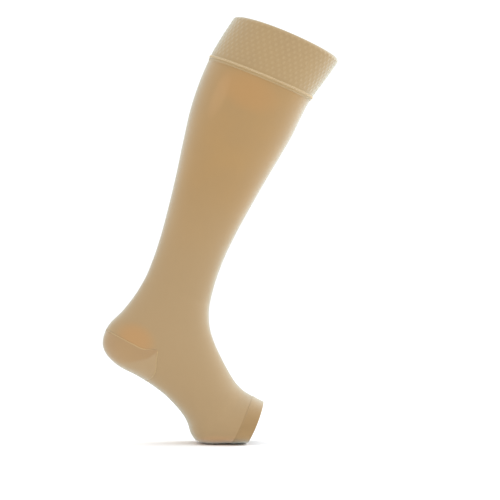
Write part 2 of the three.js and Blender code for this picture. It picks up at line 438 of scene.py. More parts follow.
class NodeDraft:
    """A material's node tree, built a node at a time."""

    def __init__(self, name: str) -> None:
        """Start a material with its shader and output.

        Args:
            name: The material's name.
        """
        self.material = bpy.data.materials.new(name)
        self.material.use_nodes = True
        self.tree = self.material.node_tree
        self.tree.nodes.clear()
        self.shader = self.node("BsdfPrincipled")
        self.node("OutputMaterial", {"Surface": self.shader.outputs["BSDF"]})

    def node(
        self, kind: str, inputs: dict[int | str, object] | None = None, **settings: str
    ) -> bpy.types.Node:
        """Add a node.

        Args:
            kind: Blender's name for the kind of node, without its first word.
            inputs: What its inputs are set to, or joined to.
            **settings: Its properties.

        Returns:
            The new node.
        """
        made = self.tree.nodes.new("ShaderNode" + kind)
        for name, value in settings.items():
            setattr(made, name, value)
        self.feed(made, inputs or {})
        return made

    def feed(self, node: bpy.types.Node, inputs: dict[int | str, object]) -> None:
        """Set a node's inputs, or join them to other nodes' outputs.

        Args:
            node: The node.
            inputs: A number, a colour or an output for each input.
        """
        for name, value in inputs.items():
            socket = node.inputs[name]
            if isinstance(value, Socket):
                self.tree.links.new(value, socket)
            elif socket.type == "RGBA":
                socket.default_value = (*value, 1.0)
            else:
                socket.default_value = value

    def math(self, operation: str, *values: object) -> Socket:
        """Work out a math operation on numbers or outputs."""
        return self.node("Math", dict(enumerate(values)), operation=operation).outputs[0]

    def blend(self, share: object, low: object, high: object) -> Socket:
        """Mix two colours, the low one where the share is 0 and the high one where it is 1."""
        return self.node("Mix", {0: share, 6: low, 7: high}, data_type="RGBA").outputs[2]

    def ramp(self, value: Socket, low: float, high: float) -> Socket:
        """Turn values between low and high into 0 to 1, with soft ends."""
        inputs = {"Value": value, "From Min": low, "From Max": high}
        return self.node("MapRange", inputs, interpolation_type="SMOOTHSTEP").outputs["Result"]

    def noise(self, vector: Socket, scale: float, detail: float) -> Socket:
        """Read a noise, from 0 to 1, at a vector."""
        return self.node("TexNoise", {"Vector": vector, "Scale": scale, "Detail": detail}).outputs["Fac"]

    def place(self) -> Socket:
        """Place on the object, in metres."""
        return self.node("TexCoord").outputs["Object"]

    def split(self, vector: Socket) -> tuple[Socket, ...]:
        """Part a vector into its three numbers."""
        return tuple(self.node("SeparateXYZ", {0: vector}).outputs)

    def stitches(self) -> tuple[Socket, ...]:
        """Knit coordinates: wales across and courses along."""
        return self.split(self.node("UVMap", uv_map="Knit").outputs["UV"])[:2]


@dataclass(frozen=True)
class SoftZone:
    """A soft oval of another tone, seen from the side and alike on both sides of the stocking."""

    x: float
    z: float
    reach_x: float
    reach_z: float
    lean: float
    strength: float
    tone: Colour

    def mask(self, draft: NodeDraft) -> Socket:
        """Work out the zone's strength at each place.

        Args:
            draft: The material that the zone is in.

        Returns:
            The output, from 0 to the zone's strength.
        """
        calc = draft.math
        x, _, z = draft.split(draft.place())
        across, down = calc("SUBTRACT", x, self.x), calc("SUBTRACT", z, self.z)
        cosine, sine = math.cos(self.lean), math.sin(self.lean)
        along = calc("ADD", calc("MULTIPLY", across, cosine), calc("MULTIPLY", down, sine))
        beside = calc("SUBTRACT", calc("MULTIPLY", down, cosine), calc("MULTIPLY", across, sine))
        squares = (
            calc("POWER", calc("ABSOLUTE", calc("DIVIDE", way, reach)), 2.0)
            for way, reach in ((along, self.reach_x), (beside, self.reach_z))
        )
        return calc("MULTIPLY", draft.ramp(calc("ADD", *squares), 1.0, 0.0), self.strength)


@dataclass(frozen=True)
class Nap:
    """The surface of yarn: how matt it is, its soft nap, and how deep its relief looks."""

    roughness: float = 0.85
    specular: float = 0.15
    sheen: float = 0.8
    sheen_roughness: float = 0.45
    sheen_tint: Colour = (0.84, 1.0, 1.0)
    bump_strength: float = 0.35
    bump_depth: float = 0.12 * MM

    def lay(self, draft: NodeDraft, colour: Socket, height: Socket) -> bpy.types.Material:
        """Finish a material with this surface.

        Args:
            draft: The material.
            colour: Its colour.
            height: Its relief, from 0 to 1.

        Returns:
            The finished material.
        """
        relief = {"Strength": self.bump_strength, "Distance": self.bump_depth, "Height": height}
        surface = {
            "Base Color": colour,
            "Normal": draft.node("Bump", relief).outputs["Normal"],
            "Roughness": self.roughness,
            "Specular IOR Level": self.specular,
            "Sheen Weight": self.sheen,
            "Sheen Roughness": self.sheen_roughness,
            "Sheen Tint": self.sheen_tint,
        }
        draft.feed(draft.shader, surface)
        return draft.material


KNIT_NAP = Nap()
THREAD_NAP = Nap(roughness=0.7, specular=0.5, sheen=0.7, bump_strength=0.3, bump_depth=0.05 * MM)


@dataclass(frozen=True)
class KnitFinish:
    """The finish of a plain knit: two close tones of yarn, painted shade in the gaps between stitches and a
    soft nap.
    """

    name: str
    yarn: Colour
    other_yarn: Colour
    gap_shade: Colour
    accent: Colour | None = None
    accent_share: float = 0.0
    gap_shade_share: float = 0.35
    zones: tuple[SoftZone, ...] = ()
    nap: Nap = KNIT_NAP
    stitch_lean: float = 1.1
    stitch_dip: float = 0.55
    cloud_scale: float = 22.0
    cloud_detail: float = 3.0
    cloud_low: float = 0.3
    cloud_high: float = 0.7
    streak_share: float = 0.35
    streak_slowness: float = 0.04
    streak_scale: float = 1.0
    streak_detail: float = 1.0

    def make(self) -> bpy.types.Material:
        """Build the material.

        Returns:
            The finished material.
        """
        draft = NodeDraft(self.name)
        wale, course = draft.stitches()
        height = self._stitch_height(draft, wale, course)
        return self.nap.lay(draft, self._colour(draft, wale, course, height), height)

    def _stitch_height(self, draft: NodeDraft, wale: Socket, course: Socket) -> Socket:
        """Work out the height of the stitches, two slanting legs for each wale.

        Args:
            draft: The material.
            wale: Knit coordinate across.
            course: Knit coordinate along.

        Returns:
            The height's output, from 0 to 1.
        """
        calc = draft.math
        off_centre = calc("ABSOLUTE", calc("SUBTRACT", calc("FRACT", wale), 0.5))
        leaning = calc("ADD", course, calc("MULTIPLY", off_centre, self.stitch_lean))
        along = calc("ABSOLUTE", calc("SINE", calc("MULTIPLY", leaning, math.pi)))
        leg = calc("SINE", calc("MULTIPLY", off_centre, FULL_TURN))
        dipped = calc("ADD", calc("MULTIPLY", along, self.stitch_dip), 1 - self.stitch_dip)
        return calc("MULTIPLY", leg, dipped)

    def _colour(self, draft: NodeDraft, wale: Socket, course: Socket, height: Socket) -> Socket:
        """Mix the yarn's tones, painted shade in the gaps, the soft zones, some of them painted light, and
        the relief's tone.

        Args:
            draft: The material.
            wale: Knit coordinate across.
            course: Knit coordinate along.
            height: Height of the stitches.

        Returns:
            The colour's output.
        """
        calc = draft.math
        clouds = draft.noise(draft.place(), self.cloud_scale, self.cloud_detail)
        clouds = draft.ramp(clouds, self.cloud_low, self.cloud_high)
        slow_course = calc("MULTIPLY", course, self.streak_slowness)
        drawn_out = draft.node("CombineXYZ", {0: wale, 1: slow_course}).outputs[0]
        streaks = draft.noise(drawn_out, self.streak_scale, self.streak_detail)
        clouds_part = calc("MULTIPLY", clouds, 1 - self.streak_share)
        share = calc("ADD", clouds_part, calc("MULTIPLY", streaks, self.streak_share))
        colour = draft.blend(share, self.yarn, self.other_yarn)
        for zone in self.zones:
            colour = draft.blend(zone.mask(draft), colour, zone.tone)
        if self.accent is not None:
            relief = draft.node("Attribute", attribute_name="relief").outputs["Fac"]
            colour = draft.blend(calc("MULTIPLY", relief, self.accent_share), colour, self.accent)
        # Painted shade: darker where the stitch height is low, in the gaps between stitches
        depth = calc("MULTIPLY", calc("SUBTRACT", 1.0, height), self.gap_shade_share)
        return draft.blend(depth, colour, self.gap_shade)


@dataclass(frozen=True)
class ThreadFinish:
    """The finish of sewing thread: a twist with painted shade in the grooves between its plies, and a
    slight gloss.
    """

    name: str
    thread: Colour
    shade: Colour
    nap: Nap = THREAD_NAP
    twists: float = 3.0

    def make(self) -> bpy.types.Material:
        """Build the material.

        Returns:
            The finished material.
        """
        draft = NodeDraft(self.name)
        around, along = draft.stitches()
        twist = draft.math("ADD", around, draft.math("MULTIPLY", along, self.twists))
        ply = draft.math("ABSOLUTE", draft.math("SINE", draft.math("MULTIPLY", twist, FULL_TURN)))
        # Painted shade: the colour darkens to the shade tone where the twist's height is low
        return self.nap.lay(draft, draft.blend(ply, self.shade, self.thread), ply)


@dataclass(frozen=True)
class FloorFinish:
    """The plain pale floor."""

    tone: Colour = (0.98, 0.98, 0.98)
    other_tone: Colour = (0.96, 0.96, 0.96)
    cloud_scale: float = 3.0
    cloud_detail: float = 2.0
    roughness: float = 0.9
    specular: float = 0.1

    def make(self) -> bpy.types.Material:
        """Build the material.

        Returns:
            The finished material.
        """
        draft = NodeDraft("pale_floor")
        clouds = draft.noise(draft.place(), self.cloud_scale, self.cloud_detail)
        colour = draft.blend(clouds, self.tone, self.other_tone)
        surface = {"Base Color": colour, "Roughness": self.roughness, "Specular IOR Level": self.specular}
        draft.feed(draft.shader, surface)
        return draft.material


@dataclass(frozen=True)
class RingPiece:
    """A closed ring of cloth, made by a section that runs round the form."""

    form: StockingForm
    columns: int
    wales: int
    course: float

    def angles(self) -> Array:
        """Turn angles of the columns, with the last one back at the first."""
        return np.linspace(0, FULL_TURN, self.columns + 1)

    def weave(self, draft: MeshDraft, s: Array, lift: Array, relief: Array | float = 0.0) -> None:
        """Add a closed ring to a draft.

        Args:
            draft: Where the ring is gathered.
            s: Distance of each point of the section, once round it, from outside to inside.
            lift: Lift of each point of the section, or of each point and column.
            relief: A mark for the colours at each point: how raised it is on the band, and where painted
                sheen goes on the toe hem.
        """
        angles = self.angles()
        lift = np.broadcast_to(lift if lift.ndim == 2 else lift[:, None], (len(s), len(angles)))
        points = self.form.lifted(self.form.ring_place(s[:, None], angles[None, :]), angles[None, :], lift)
        numbers = draft.add_points(points[:, :-1], np.broadcast_to(relief, lift.shape)[:, :-1])
        numbers = np.pad(numbers, ((0, 1), (0, 1)), mode="wrap")
        run = np.linalg.norm(np.diff(points, axis=0, append=points[:1]), axis=-1).mean(axis=1)
        course = np.concatenate(([0.0], np.cumsum(run))) / self.course
        wale = angles / FULL_TURN * self.wales
        draft.add_grid(numbers, wale[None, :], course[:, None], Side.OUTER)


@dataclass(frozen=True)
class ThreadWork:
    """Short lengths of sewing thread, swept as small tubes along the form."""

    form: StockingForm
    radius: float
    sides: int = 6
    end_taper: float = 0.45
    end_knit: tuple[float, float] = (0.5, 0.5)

    def sew(self, name: str, places: tuple[Array, Array, Array], finish: ThreadFinish, slot: Slot) -> Piece:
        """Build a row of threads.

        Args:
            name: The piece's name.
            places: Distance, turn angle and lift of each point, a row for each thread.
            finish: Their finish.
            slot: A material slot name, passed on to dress, which doesn't use it.

        Returns:
            The piece.
        """
        s, angle, lift = np.broadcast_arrays(*places)
        draft = MeshDraft()
        self._sweep(draft, self.form.lifted(s, angle, lift), self.form.normal(s, angle))
        return dress(draft.build(name, finish.make()), slot)

    def _sweep(self, draft: MeshDraft, paths: Array, outward: Array) -> None:
        """Add one closed tube for each path.

        Args:
            draft: Where the tubes are gathered.
            paths: Points along each thread, as threads by points by x, y and z.
            outward: The cloth's outward direction at each point.
        """
        count = paths.shape[1]
        run = np.gradient(paths, axis=1)
        run /= np.linalg.norm(run, axis=-1, keepdims=True)
        across = np.cross(run, outward)
        across /= np.linalg.norm(across, axis=-1, keepdims=True)
        rise = np.cross(across, run)
        taper = np.ones(count)
        taper[[0, -1]] = self.end_taper
        turn = np.linspace(0, FULL_TURN, self.sides, endpoint=False)
        ring = across[:, :, None] * np.cos(turn)[:, None] + rise[:, :, None] * np.sin(turn)[:, None]
        numbers = draft.add_points(paths[:, :, None] + ring * (self.radius * taper)[:, None, None])
        around = np.linspace(0, 1, self.sides + 1)[None, :]
        length = np.linspace(0, 1, count)[:, None]
        for thread in numbers:
            draft.add_grid(np.pad(thread, ((0, 0), (0, 1)), mode="wrap"), around, length, Side.INNER)
            for end in (thread[0], thread[-1, ::-1]):
                draft.faces.append(end.tolist())
                draft.knit.extend([self.end_knit] * self.sides)


@dataclass
class TopBand:
    """The elastic band, knitted with staggered rows of small raised diamonds."""

    form: StockingForm
    outer_lift: float = 0.35 * MM
    thickness: float = 1.7 * MM
    curl_radius: float = 5 * MM
    curl_turn: float = math.radians(75)
    curl_steps: int = 10
    rim_steps: int = 8
    tuck: float = 1.0 * MM
    diamonds_round: int = 54
    diamond_row: float = 5.1 * MM
    diamond_reach: float = 0.42
    diamond_height: float = 0.3 * MM
    diamond_round: float = 1.6
    diamond_steepness: float = 1.5
    plain_edge: float = 3.5 * MM
    plain_end: float = 1 * MM
    edge_fade: float = 1.5 * MM
    columns_each: int = 10
    row_step: float = 0.68 * MM
    inner_step: float = 5.0 * MM
    wales: int = 270
    course: float = 0.95 * MM
    cut: Cut = Cut(0.262, 0.06)

    def curl(self, turn: Array, depth: float) -> Array:
        """Follow the top edge as it curls in.

        Args:
            turn: How far the curl has turned at each point.
            depth: How deep the points lie under the outer face.

        Returns:
            The points' distances and lifts.
        """
        radius = self.curl_radius - depth
        s = self.curl_radius - radius * np.sin(turn)
        return np.stack((s, self.outer_lift - self.curl_radius + radius * np.cos(turn)))

    def rim(self, turn: Array) -> Array:
        """Round off the end of the curl, from its inner face to its outer one.

        Args:
            turn: Turn from the outer face at each point.

        Returns:
            The points' distances and lifts.
        """
        half = self.thickness / 2
        cosine, sine = math.cos(self.curl_turn), math.sin(self.curl_turn)
        away = (np.cos(turn) * sine + np.sin(turn) * cosine, np.sin(turn) * sine - np.cos(turn) * cosine)
        return self.curl(np.full(len(turn), self.curl_turn), half) - half * np.stack(away)

    def relief(self, along: Array, angle: Array) -> Array:
        """Work out how raised the band is.

        Args:
            along: Distances down the cloth from its top rim.
            angle: Turn angles.

        Returns:
            The relief, from 0 on the plain ground to 1 on a diamond's top.
        """
        across = angle / FULL_TURN * self.diamonds_round
        down = along / self.diamond_row
        ways = (across + down / 2, across - down / 2)
        power = self.diamond_round
        reach = sum(np.abs(way - np.round(way)) ** power for way in ways) ** (1 / power)
        rise = (self.diamond_reach - reach) / self.diamond_reach * self.diamond_steepness
        depth = self.form.seam_start - self.curl_radius + self.curl_radius * self.curl_turn
        edge = np.minimum(along - self.plain_edge, depth - self.plain_end - along) / self.edge_fade
        return ease(np.clip(rise, 0, 1)) * np.clip(edge, 0, 1)

    def build(self, finish: KnitFinish) -> Piece:
        """Build the band.

        Args:
            finish: Its finish.

        Returns:
            The piece.
        """
        ring = RingPiece(self.form, self.diamonds_round * self.columns_each, self.wales, self.course)
        low = self.form.seam_start + self.tuck
        outer = np.arange(self.curl_radius, low, self.row_step)
        inner = np.arange(low - self.inner_step, self.curl_radius, -self.inner_step)
        lifts = (self.outer_lift, self.outer_lift - self.thickness)
        counts = (len(outer) + 1, len(inner) + 1)
        flat = (np.concatenate((outer, [low, low], inner)), np.repeat(lifts, counts))
        turn = np.linspace(0, self.curl_turn, self.curl_steps + 1)
        rim = self.rim(np.linspace(math.pi, 0, self.rim_steps + 1)[1:-1])
        curls = self.curl(turn[:0:-1], 0.0), self.curl(turn, self.thickness)
        s, lift = np.concatenate((curls[0], flat, curls[1], rim), axis=1)
        along_curl = self.curl_radius * (self.curl_turn - turn[:0:-1])
        along = np.concatenate((along_curl, outer - self.curl_radius + self.curl_radius * self.curl_turn))
        raised = np.zeros((len(s), ring.columns + 1))
        raised[: len(along)] = self.relief(along[:, None], ring.angles()[None, :])
        draft = MeshDraft()
        ring.weave(draft, s, lift[:, None] + raised * self.diamond_height, raised)
        return dress(draft.build("top_band_knit", finish.make()), Slot.BAND, "top_band")


# Section of the band's seam, once round it from its upper edge, as depth below the seam's start
# and lift, in millimetres: a raised ridge, a flat stretch, the lower stitch row, and the plain back
SEAM_RIDGE = ((-0.4, 0.1), (0.0, 0.6), (0.6, 0.85), (1.3, 1.0), (2.0, 0.85), (2.5, 0.5), (2.9, 0.25))
SEAM_LOWER = ((3.6, 0.2), (4.2, 0.3), (4.8, 0.42), (5.5, 0.3))
SEAM_BACK = ((6.0, -0.1), (6.0, -0.9), (5.4, -1.3), (2.5, -1.45), (-0.2, -1.5), (-0.8, -1.3))


@dataclass(frozen=True)
class StitchRow:
    """A row of stitches on the band's seam: each one's way down, and how far it runs round."""

    name: str
    stitches: int
    radius: float
    start: float
    end: float
    run: float
    points: int


@dataclass
class BandSeam:
    """The sewn seam that joins the band to the leg."""

    form: StockingForm
    columns: int = 300
    wales: int = 300
    course: float = 0.8 * MM
    cover: StitchRow = StitchRow("band_seam_cover_stitches", 150, 0.36 * MM, 0.2 * MM, 2.5 * MM, 1.7, 8)
    lower: StitchRow = StitchRow("band_seam_lower_stitches", 130, 0.34 * MM, 4.5 * MM, 5.1 * MM, 0.8, 5)
    rise: float = 0.45
    end_dip: float = 0.9

    def build_ridge(self, finish: KnitFinish) -> Piece:
        """Build the seam's cloth.

        Args:
            finish: Its finish.

        Returns:
            The piece.
        """
        ring = RingPiece(self.form, self.columns, self.wales, self.course)
        down, lift = np.array(SEAM_RIDGE + SEAM_LOWER + SEAM_BACK).T * MM
        draft = MeshDraft()
        ring.weave(draft, self.form.seam_start + down, lift)
        return dress(draft.build("band_seam_ridge", finish.make()), Slot.THREAD, "band_seam")

    def build_stitches(self, row: StitchRow, finish: ThreadFinish) -> Piece:
        """Build a row of stitches.

        Args:
            row: The row.
            finish: Its thread's finish.

        Returns:
            The piece.
        """
        down = np.linspace(row.start, row.end, row.points)
        depths, lifts = np.array(SEAM_RIDGE + SEAM_LOWER).T * MM
        lift = np.interp(down, depths, lifts) + row.radius * self.rise
        lift[[0, -1]] -= self.end_dip * row.radius
        step = FULL_TURN / row.stitches
        angle = np.arange(row.stitches)[:, None] * step + np.linspace(0, row.run, row.points) * step
        places = (self.form.seam_start + down, angle, lift)
        return ThreadWork(self.form, row.radius).sew(row.name, places, finish, Slot.THREAD)


# Corners of the lines along which the heel is knitted in, and of the line that parts leg and foot,
# from the tip at the side, as x and z in millimetres
GORE_TIP = (-135, -341.5)
UPPER_LINE = (GORE_TIP, (-152, -340.5), (-165, -334.5), (-178, -328), (-190, -322), (-215, -309))
FRONT_LINE = (GORE_TIP, (-137, -353), (-138, -365), (-142, -373), (-152, -381), (-165, -395))
ANKLE_LINE = (GORE_TIP, (-104, -341), (-71, -336), (-40, -331))


def smooth_line(corners: tuple[tuple[float, float], ...], steps: int) -> Array:
    """Run a smooth curve through a few corners, as the solids' lines do.

    Args:
        corners: The corners as x and z, in millimetres.
        steps: Steps along the whole curve.

    Returns:
        Points along the curve, in metres.
    """
    points = np.array(corners, dtype=float) * MM
    last = len(points) - 1
    found = []
    for step in range(steps + 1):
        along = last * step / steps
        at = min(int(along), last - 1)
        before, start, end, after = (points[min(max(at + shift, 0), last)] for shift in (-1, 0, 1, 2))
        found.append(hermite(start, end, (end - before) / 2, (after - start) / 2, along - at))
    return np.array(found)


@dataclass
class HeelLines:
    """Where the heel's lines cross each column of the knit."""

    form: StockingForm
    line_steps: int = 60
    samples: int = 900
    from_place: str = "ankle"
    to_place: str = "before ball"
    side_start: float = 0.5
    side_samples: int = 600
    upper: Array = field(init=False)
    front: Array = field(init=False)
    ankle: Array = field(init=False)
    places: Array = field(init=False)
    tip_angle: float = field(init=False)

    def __post_init__(self) -> None:
        """Find the lines, and the angle of the column that runs through the tip."""
        lines = (UPPER_LINE, FRONT_LINE, ANKLE_LINE)
        self.upper, self.front, self.ankle = (smooth_line(corners, self.line_steps) for corners in lines)
        ends = self.form.station(self.from_place), self.form.station(self.to_place)
        self.places = np.linspace(*ends, self.samples)
        angles = np.linspace(self.side_start, math.pi, self.side_samples)
        tip_x, tip_z = self.upper[0]
        crossing = [np.interp(tip_z, path[::-1, 2], path[::-1, 0]) for path in self._paths(angles)]
        self.tip_angle = float(np.interp(-tip_x, -np.array(crossing), angles))

    def _paths(self, angle: Array) -> Array:
        """Points along each column, from the ankle to the ball of the foot."""
        return self.form.point(self.places[None, :], angle[:, None])

    def upper_at(self, angle: Array) -> Array:
        """Distances at which columns behind the tip cross the heel's upper line."""
        return self._below(self.upper[::-1], angle)

    def ankle_at(self, angle: Array) -> Array:
        """Distances at which columns ahead of the tip cross the line that parts leg and foot."""
        return self._below(self.ankle, angle)

    def _below(self, line: Array, angle: Array) -> Array:
        """Distances at which columns first pass below a line that is given towards the toes."""
        paths = self._paths(angle)
        return self._first_negative(paths[..., 2] - np.interp(paths[..., 0], line[:, 0], line[:, 1]))

    def front_at(self, angle: Array) -> Array:
        """Distances at which columns behind the tip cross the heel's front line.

        Args:
            angle: The columns' turn angles.

        Returns:
            A distance for each column.
        """
        paths = self._paths(angle)
        ahead = paths[..., 0] - np.interp(paths[..., 2], self.front[::-1, 1], self.front[::-1, 0])
        above_tip = paths[..., 2] > self.front[0, 1]
        return self._first_negative(-np.where(above_tip, -1.0, ahead))

    def _first_negative(self, height: Array) -> Array:
        """Distance at which each row of values first goes below zero.

        Args:
            height: Values at the sampled places, a row for each column of the knit.

        Returns:
            A distance for each row.
        """
        after = np.argmax(height < 0, axis=1)
        row = np.arange(len(height))
        high, low = height[row, after - 1], height[row, after]
        share = np.clip(high / (high - low), 0, 1)
        return self.places[after - 1] * (1 - share) + self.places[after] * share


@dataclass
class LegAndFoot:
    """The fine knit from the band's seam to the toe hem, in one piece round the heel. Its cut
    narrows towards the ankle."""

    form: StockingForm
    heel: HeelLines
    thickness: float = 0.8 * MM
    front_columns: int = 100
    back_columns: int = 84
    leg_rows: int = 150
    foot_rows: int = 60
    inner_share: int = 3
    tuck_top: float = 1.2 * MM
    tuck_toe: float = 2.5 * MM
    drawn_in_at: float = 6.7 * MM
    drawn_in_width: float = 0.7 * MM
    drawn_in_depth: float = 0.15 * MM
    wales: int = 300
    course: float = 0.85 * MM
    cut: Cut = Cut(0.265, 0.44, 0.083)

    def angles(self) -> Array:
        """Space the columns: those ahead of the heel's tips, then those behind them.

        Returns:
            Their turn angles.
        """
        tip = self.heel.tip_angle
        ahead = np.linspace(-tip, tip, self.front_columns + 1)
        behind = np.linspace(tip, FULL_TURN - tip, self.back_columns + 1)
        return np.concatenate((ahead, behind[1:]))

    def borders(self, angles: Array) -> tuple[Array, Array]:
        """Find where the leg's rows end and the foot's begin, in each column.

        Args:
            angles: The columns' turn angles.

        Returns:
            Distances of the leg's end and of the foot's start.
        """
        tip_column = self.front_columns
        leg_end = np.empty(len(angles))
        leg_end[: tip_column + 1] = self.heel.ankle_at(np.abs(angles[: tip_column + 1]))
        leg_end[tip_column:] = self.heel.upper_at(angles[tip_column:])
        foot_start = leg_end.copy()
        foot_start[tip_column + 1 : -1] = self.heel.front_at(angles[tip_column + 1 : -1])
        for border in (leg_end, foot_start):
            border[[0, tip_column, -1]] = leg_end[tip_column]
        return leg_end, foot_start

    def build(self, finish: KnitFinish) -> Piece:
        """Build the fine knit.

        Args:
            finish: Its finish.

        Returns:
            The piece.
        """
        angles = self.angles()
        leg_end, foot_start = self.borders(angles)
        start = self.form.seam_start + self.tuck_top
        end = self.form.ring_place(self.form.toe_end - self.form.hem_width + self.tuck_toe, angles)
        draft = MeshDraft()
        edges = []
        for side, lift, share in ((Side.OUTER, 0.0, 1), (Side.INNER, -self.thickness, self.inner_share)):
            leg_rows = np.linspace(0, 1, self.leg_rows // share + 1)[:, None]
            foot_rows = np.linspace(0, 1, self.foot_rows // share + 1)[:, None]
            leg_s = start + (leg_end - start)[None, :] * leg_rows
            foot_s = foot_start[None, :] + (end - foot_start)[None, :] * foot_rows
            leg = self._wall(draft, leg_s, angles, lift)
            foot = self._wall(draft, foot_s, angles, lift, leg[-1])
            wale = angles[None, :] / FULL_TURN * self.wales
            draft.add_grid(leg, wale, leg_s / self.course, side)
            draft.add_grid(foot, wale, foot_s / self.course, side)
            edges.append((leg[0], leg[-1], foot[0], foot[-1]))
        self._close(draft, edges, angles, (start, leg_end, foot_start, end))
        return dress(draft.build("leg_and_foot_knit", finish.make()), Slot.LEG, "leg", "foot")

    def _wall(
        self, draft: MeshDraft, s: Array, angles: Array, lift: float, joined: Array | None = None
    ) -> Array:
        """Add one face of the cloth.

        Args:
            draft: Where it is gathered.
            s: Distances, row by row.
            angles: The columns' turn angles.
            lift: The face's lift.
            joined: Point numbers that the first row shares ahead of the heel.

        Returns:
            The points' numbers, with the last column back at the first.
        """
        # drawn_in also marks, through the relief, where painted shade lies along the drawn-in line under
        # the seam
        from_seam = s - self.form.seam_start - self.drawn_in_at
        drawn_in = np.exp(-((from_seam / self.drawn_in_width) ** 2))
        points = self.form.lifted(s, angles[None, :], lift - drawn_in * self.drawn_in_depth)
        wrap = ((0, 0), (0, 1))
        if joined is None:
            return np.pad(draft.add_points(points[:, :-1], drawn_in[:, :-1]), wrap, mode="wrap")
        shared = self.front_columns + 1
        first = joined.copy()
        first[shared:-1] = draft.add_points(points[0, shared:-1])
        rest = np.pad(draft.add_points(points[1:, :-1]), wrap, mode="wrap")
        return np.concatenate((first[None, :], rest), axis=0)

    def _close(
        self,
        draft: MeshDraft,
        edges: list[tuple[Array, ...]],
        angles: Array,
        places: tuple[float | Array, ...],
    ) -> None:
        """Close the cloth's four edges: the top, both lines of the heel, and the toe end.

        Args:
            draft: Where they are gathered.
            edges: The edges' point numbers, on the outside and on the inside.
            angles: The columns' turn angles.
            places: Distance of each edge.
        """
        behind = slice(self.front_columns, None)
        spans = (slice(None), behind, behind, slice(None))
        sides = (Side.INNER, Side.OUTER, Side.INNER, Side.OUTER)
        for outer, inner, span, side, place in zip(*edges, spans, sides, places):
            course = np.broadcast_to(place, angles.shape)[span] + np.array([[0.0], [self.thickness]])
            wale = angles[None, span] / FULL_TURN * self.wales
            draft.add_grid(np.stack((outer[span], inner[span])), wale, course / self.course, side)


@dataclass
class HeelPocket:
    """The heel, knitted in between two slanting lines on each side, with light stitches along
    them. The cup behind a soft turn is darker than the wedge under it."""

    form: StockingForm
    heel: HeelLines
    lift: float = 0.12 * MM
    thickness: float = 1.1 * MM
    columns: int = 150
    rows: int = 40
    full_width: float = 12 * MM
    turn_share: float = 0.54
    turn_width: float = 0.035
    turn_height: float = 0.12 * MM
    tone_width: float = 0.02
    wales: int = 300
    course: float = 0.85 * MM
    tip_gap: float = 0.004
    line_samples: int = 700
    bead_points: int = 5
    bead_pitch: float = 1.5 * MM
    bead_share: float = 1.05
    bead_lean: float = 0.25
    bead_bow: float = 0.12
    bead_radius: float = 0.7 * MM
    bead_depth: float = 0.4 * MM
    upper_fade: float = 18 * MM
    front_fade: float = 2 * MM
    cut: Cut = Cut(0.12, 0.065, 0.0055)

    def build(self, finish: KnitFinish) -> Piece:
        """Build the heel's cloth.

        Args:
            finish: Its finish.

        Returns:
            The piece.
        """
        tip = self.heel.tip_angle
        angles = np.linspace(tip, FULL_TURN - tip, self.columns + 1)
        upper, front = self.heel.upper_at(angles), self.heel.front_at(angles)
        upper[-1] = front[0] = front[-1] = upper[0]
        rows = np.linspace(0, 1, self.rows + 1)[:, None]
        s = upper[None, :] + (front - upper)[None, :] * rows
        wide = np.clip((front - upper) / self.full_width, 0, 1)[None, :]
        turn = np.exp(-(((rows - self.turn_share) / self.turn_width) ** 2))
        tone = 1 / (1 + np.exp(-(rows - self.turn_share) / self.tone_width)) * wide
        wale = angles[None, :] / FULL_TURN * self.wales
        draft = MeshDraft()
        edges = []
        outer_lift = self.lift * wide + turn * wide * self.turn_height
        for side, lift in ((Side.OUTER, outer_lift), (Side.INNER, self.lift - self.thickness)):
            numbers = draft.add_points(self.form.lifted(s, angles[None, :], lift), tone)
            numbers[:, 0] = numbers[0, 0]
            numbers[:, -1] = numbers[0, -1]
            draft.add_grid(numbers, wale, s / self.course, side)
            edges.append(numbers)
        for row, side in ((0, Side.INNER), (-1, Side.OUTER)):
            course = np.stack((s[row], s[row] + self.thickness)) / self.course
            draft.add_grid(np.stack((edges[0][row], edges[1][row])), wale, course, side)
        return dress(draft.build("heel_pocket_knit", finish.make()), Slot.HEEL, "heel_pocket")

    def build_gore_stitches(self, finish: ThreadFinish) -> list[Piece]:
        """Build the light stitches along the pocket's two lines.

        Args:
            finish: Their finish.

        Returns:
            The two pieces.
        """
        upper = ("heel_upper_gore_stitches", self.heel.upper_at, self.upper_fade)
        front = ("heel_front_gore_stitches", self.heel.front_at, self.front_fade)
        return [self._line_of_stitches(*line, finish) for line in (upper, front)]

    def _line_of_stitches(
        self, name: str, crossing: Callable[[Array], Array], fade: float, finish: ThreadFinish
    ) -> Piece:
        """Build the stitches along one line of the heel.

        Args:
            name: The piece's name.
            crossing: Gives the line's distance at each column.
            fade: Length over which the stitches sink into the knit towards each tip.
            finish: Their finish.

        Returns:
            The piece.
        """
        tip = self.heel.tip_angle
        angle = np.linspace(tip + self.tip_gap, FULL_TURN - tip - self.tip_gap, self.line_samples)
        s = crossing(angle)
        steps = np.linalg.norm(np.diff(self.form.point(s, angle), axis=0), axis=-1)
        run = np.concatenate(([0.0], np.cumsum(steps)))
        middle = (np.arange(int(run[-1] / self.bead_pitch)) + 0.5) * self.bead_pitch
        share = np.linspace(-1, 1, self.bead_points)[None, :]
        offset = share / 2 * self.bead_pitch * self.bead_share
        where = middle[:, None] + offset
        shown = np.clip(np.minimum(where, run[-1] - where) / fade, 0, 1)
        sunk = self.bead_depth + (self.bead_radius - self.bead_depth) * (1 - shown)
        lift = -sunk - self.bead_bow * self.bead_radius * share**2
        places = (np.interp(where, run, s) + offset * self.bead_lean, np.interp(where, run, angle), lift)
        return ThreadWork(self.form, self.bead_radius).sew(name, places, finish, Slot.THREAD)


